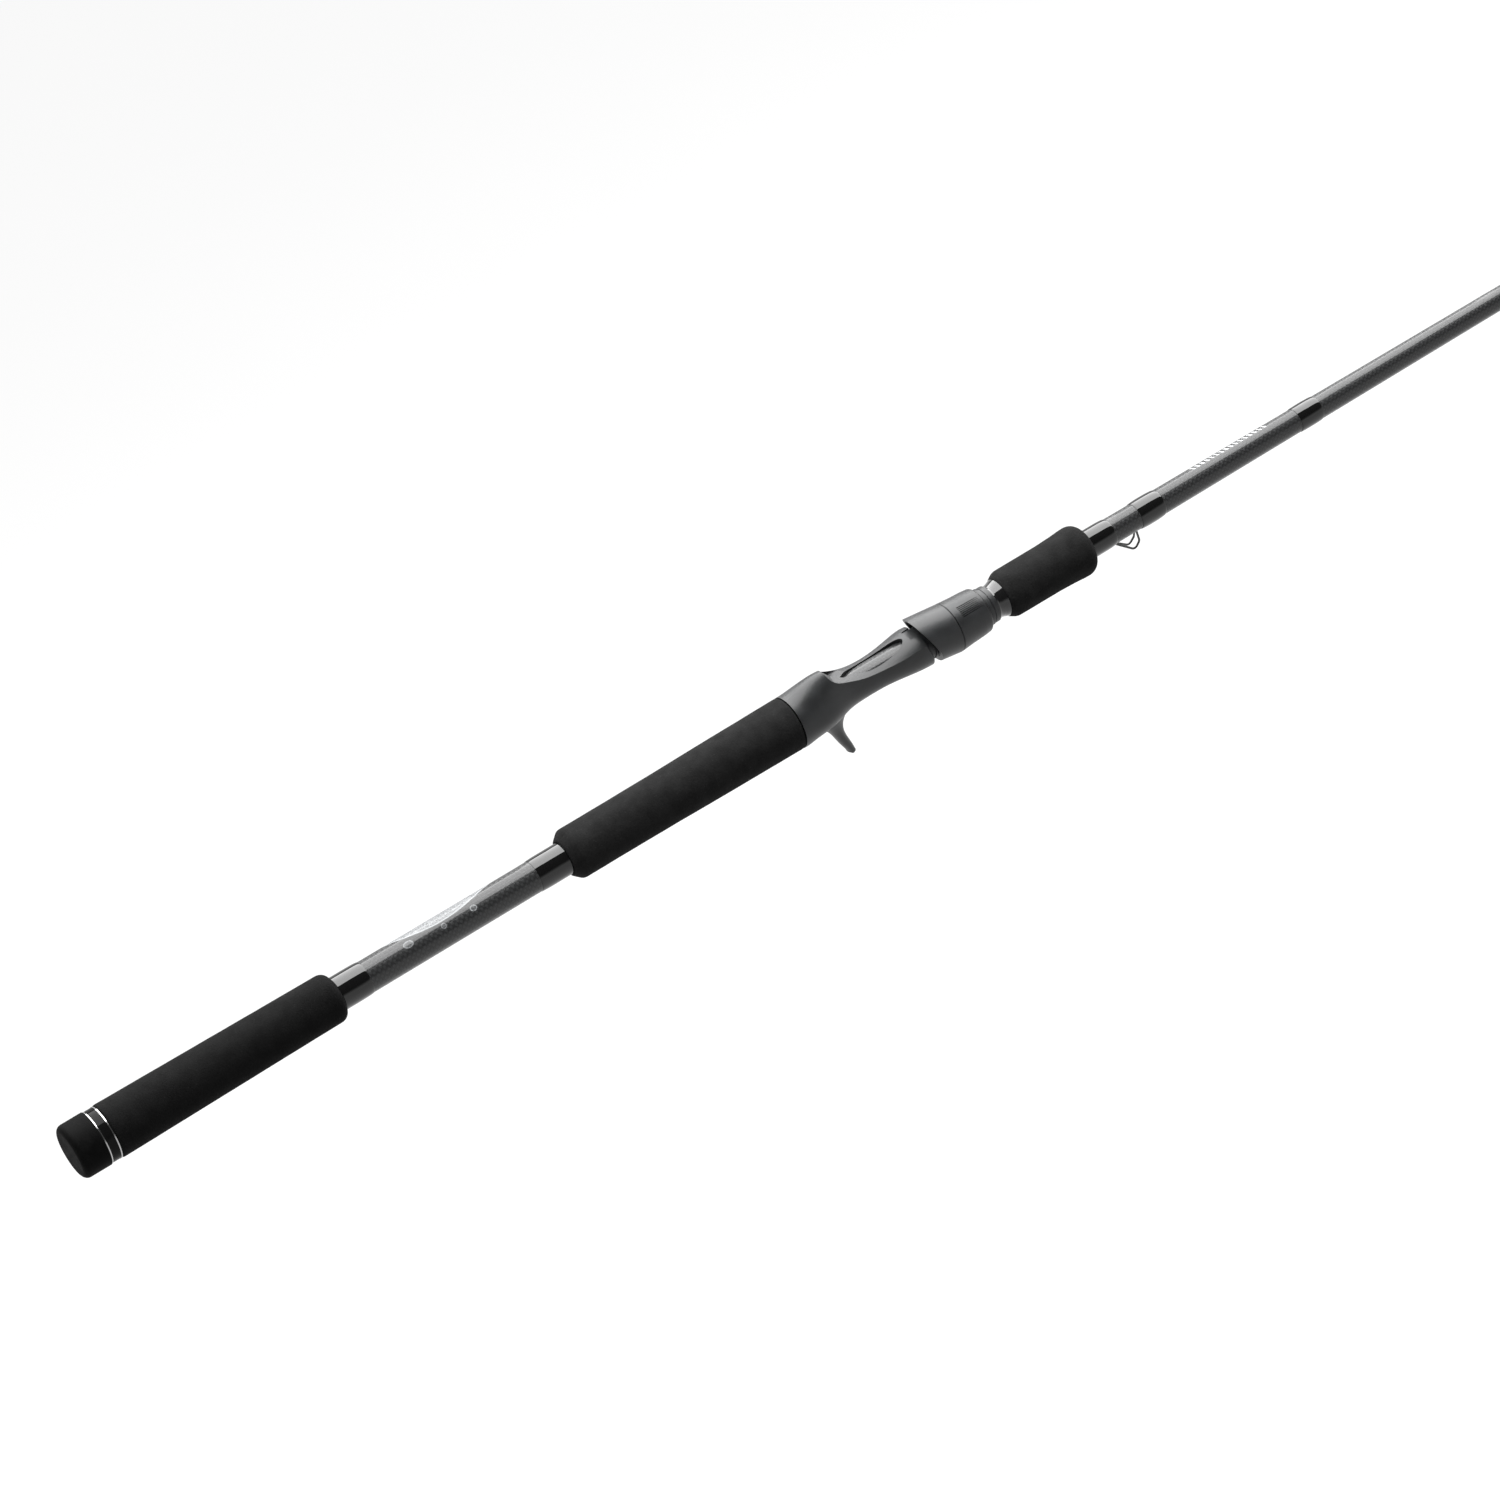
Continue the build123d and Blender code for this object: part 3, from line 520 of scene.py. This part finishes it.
def turned_piece(name, stations, surface, material, node):
    """A closed piece turned about the rod's axis in place of a CAD node.

    stations are (x, bore radius) from rear to front; surface(x, out) gives the outer radius in
    direction out, and is called in the order of the stations."""
    shape = bmesh.new()
    rows = []
    for side in ("bore", "outer"):
        for x, bore in stations if side == "outer" else reversed(stations):
            row = []
            for number in range(AROUND):
                angle = math.tau * number / AROUND
                out = Vector((0.0, math.sin(angle), math.cos(angle)))
                radius = bore if side == "bore" else surface(x, out)
                row.append(shape.verts.new(Vector((x, 0.0, 0.0)) + radius * out))
            rows.append(row)
    for row, after in zip(rows, rows[1:] + rows[:1]):
        for number in range(AROUND):
            following = (number + 1) % AROUND
            shape.faces.new((row[number], after[number], after[following], row[following]))
    bmesh.ops.recalc_face_normals(shape, faces=shape.faces)
    mesh = bpy.data.meshes.new(name)
    shape.to_mesh(mesh)
    shape.free()
    mesh.polygons.foreach_set("use_smooth", [True] * len(mesh.polygons))
    mesh.materials.append(material)
    piece = bpy.data.objects.new(name, mesh)
    bpy.context.scene.collection.objects.link(piece)
    smooth = piece.modifiers.new("smooth", "SUBSURF")
    smooth.levels = smooth.render_levels = 1
    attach(piece, frame["nodes"][node]["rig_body"])
    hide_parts(node)
    return piece


# ---------------------------------------------------------------- foam grips
RING_STEP = 1.4 * MM             # between rings, along the outline
FOAM_HOLLOWS = 0.09 * MM         # how deep the ground surface dips at most
HOLLOW_SIZE = 9 * MM


def outer_line(node):
    """Outer outline of a turned CAD node, as (x, radius) from rear to front."""
    radii = radii_by_x(node)
    inside = max(end_bores(node)) + MM
    return [(x, max(radii[x])) for x in sorted(radii) if max(radii[x]) > inside]


def resampled(line, step):
    """Points about step apart along a line of (x, radius) points, both ends kept."""
    lengths = [math.dist(a, b) for a, b in zip(line, line[1:])]
    count = max(2, round(sum(lengths) / step))
    points = []
    for number in range(count + 1):
        left = sum(lengths) * number / count
        index = 0
        while index < len(lengths) - 1 and left > lengths[index]:
            left -= lengths[index]
            index += 1
        share = min(1.0, left / lengths[index]) if lengths[index] else 0.0
        (x0, r0), (x1, r1) = line[index], line[index + 1]
        points.append((x0 + (x1 - x0) * share, r0 + (r1 - r0) * share))
    return points


def with_bores(node, places):
    """(x, bore radius) at each of places, which run from the node's rear to its front."""
    rear_bore, front_bore = end_bores(node)
    rear, front = places[0], places[-1]
    return [(x, rear_bore + (front_bore - rear_bore) * (x - rear) / (front - rear)) for x in places]


def foam_grip(node, material):
    """A turned foam grip in the space of its CAD solid, with the faint hollows of ground foam."""
    line = resampled(outer_line(node), RING_STEP)
    stations = with_bores(node, [x for x, _ in line])
    # radii come in ring order and not by x, because an end face has several rings at one x
    radii = iter([radius for _, radius in line for _ in range(AROUND)])

    def surface(x, out):
        radius = next(radii)
        dip = noise.noise(Vector((x, radius * out.y, radius * out.z)) / HOLLOW_SIZE)
        return radius - FOAM_HOLLOWS * (0.5 + 0.5 * dip)

    return turned_piece(f"{node}_foam", stations, surface, material, node)


# ---------------------------------------------------------------- thread wraps
WRAP_STEP = 0.6 * MM             # between rings
WRAP_EDGE = 0.07 * MM            # epoxy's thickness at a wrap's very end
CROWN_FLATNESS = 2.3             # higher keeps more of a wrap's middle flat
CROWN_END = 0.55                 # lower makes its ends fuller
HUMP_SPREAD = math.radians(27)   # half the width of the swelling over a wire foot
WAVE = 0.03 * MM                 # height of the epoxy's unevenness
WAVE_SIZE = 5 * MM
KEEPER_HUMP = 1.0 * MM           # how far a wrap swells over the hook keeper's feet


def wrap(node, material, butted=0, hump=0.0):
    """A wrap with a crowned epoxy coat in the space of its CAD solid.

    butted is -1 or 1 where its rear or front end stands against a grip, so that only the other end
    runs out; hump is its swelling below."""
    low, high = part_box(node)
    length = high.x - low.x
    count = round(length / WRAP_STEP)
    stations = with_bores(node, [low.x + length * number / count for number in range(count + 1)])
    bores = dict(stations)
    crown = high.y - stations[0][1] - WRAP_EDGE

    def surface(x, out):
        across = 2.0 * (x - low.x) / length - 1.0
        if across * butted > 0.0:
            across = 0.0
        rise = max(0.0, 1.0 - abs(across) ** CROWN_FLATNESS) ** CROWN_END
        under = math.acos(max(-1.0, min(1.0, -out.z)))
        swelling = hump * math.exp(-((under / HUMP_SPREAD) ** 2))
        wave = WAVE * noise.noise(Vector((x, bores[x] * out.y, bores[x] * out.z)) / WAVE_SIZE)
        return bores[x] + WRAP_EDGE + rise * (crown + swelling + wave)

    return turned_piece(f"{node}_thread", stations, surface, material, node)


# ---------------------------------------------------------------- finishes
def dress(material, *nodes):
    """Gives CAD nodes their finished material."""
    for node in nodes:
        materials = frame["nodes"][node].data.materials
        materials.clear()
        materials.append(material)


def nodes_of(slot):
    """The CAD nodes whose material slot is slot."""
    return [n for n, o in frame["nodes"].items() if o.data.materials[0].name.split(".")[0] == slot]


bpy.context.scene.view_settings.view_transform = "Standard"
make_camera()
make_panels()
make_world()
make_floor()

in_slot = {m["slot"]: nodes_of(m["slot"]) for m in frame["record"]["materials"]}
dress(carbon("carbon_butt", printed=True), "butt_blank")
dress(carbon("carbon_tip", printed=False), "tip_blank")
thread_look = thread()
dress(thread_look, *in_slot["thread_wrap"])
dress(rubber(), *in_slot["cap_rubber"])
dress(soft_plastic("seat_soft_plastic"), *in_slot["seat_plastic"])
dress(soft_plastic("nut_soft_plastic", shade_rib_gaps=True), "lock_nut")
dress(gloss_trim("gloss_black_trim", 1.0), *in_slot["black_trim"])
dress(gloss_trim("gloss_black_band", 0.12), "trim_band")
polished_ring = metal("polished_ring", grey(0.34), grey(0.5), 0.12, 0.24, ROUND_ROD)
keeper_steel = metal("keeper_steel", grey(0.05), grey(0.09), 0.2, 0.32, ALONG_WIRE)
guide_steel = metal("guide_steel", grey(0.09), grey(0.15, 0.08), 0.2, 0.34, ALONG_FRAME)
dress(polished_ring, *in_slot["polished_trim"])
dress(keeper_steel, *in_slot["keeper_wire"])
dress(guide_steel, *in_slot["guide_frame"])
dress(ceramic(), *in_slot["ceramic"])
dress(moulded("arbor_fibre", 0.03, 0.07, 0.06 * MM), *in_slot["arbor"])
dress(moulded("hood_lining", 0.012, 0.028, 0.02 * MM), *in_slot["hood_cushion"])

butt_foam = foam("butt_grip_foam", 0.002, 0.006)
upper_foam = foam("upper_grip_foam", 0.004, 0.012)
foam_grip("butt_grip", butt_foam)
foam_grip("rear_grip", upper_foam)
foam_grip("foregrip", upper_foam)

wrap("butt_wrap", thread_look, butted=-1)
wrap("mid_wrap", thread_look, butted=1)
wrap("foregrip_wrap", thread_look, butted=-1, hump=KEEPER_HUMP)
wrap("keeper_wrap", thread_look, hump=KEEPER_HUMP)
wrap("label_wrap", thread_look)
wrap("ferrule_wrap", thread_look)
